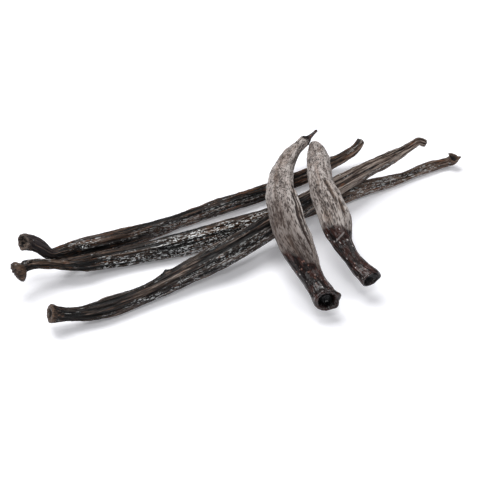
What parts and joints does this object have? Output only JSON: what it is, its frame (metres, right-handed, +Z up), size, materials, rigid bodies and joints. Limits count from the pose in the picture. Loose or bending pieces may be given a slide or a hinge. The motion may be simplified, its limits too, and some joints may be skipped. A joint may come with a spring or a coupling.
{
  "type": "bundle of vanilla pods",
  "caption": "Loose bundle of cured vanilla pods lying crossed: slim dark ridged pods with short plump pods laid over them, for a pantry, kitchen or food display.",
  "frame": {"origin": "middle of the bundle's footprint, on the surface that it lies on", "axes": "+X to the right along the bundle as seen from the front, +Y to the back, +Z up"},
  "size_m": [0.1779, 0.115, 0.0277],
  "materials": {
    "pod_back": "wrinkled, waxy, near-black brown with pale crystal specks",
    "pod_floor": "wrinkled, waxy, near-black brown with pale crystal specks",
    "pod_crossing": "wrinkled, satin, dark brown ridges with darker furrows",
    "pod_top_left": "dry grey-brown bloom with dark specks, glossy dark brown towards the foot",
    "pod_top_right": "dry grey-brown bloom with dark specks, glossy dark brown towards the foot"
  },
  "bodies": {
    "root": {"pod_back": "pod_back", "pod_floor": "pod_floor", "pod_crossing": "pod_crossing", "pod_top_left": "pod_top_left", "pod_top_right": "pod_top_right"}
  },
  "joints": []
}
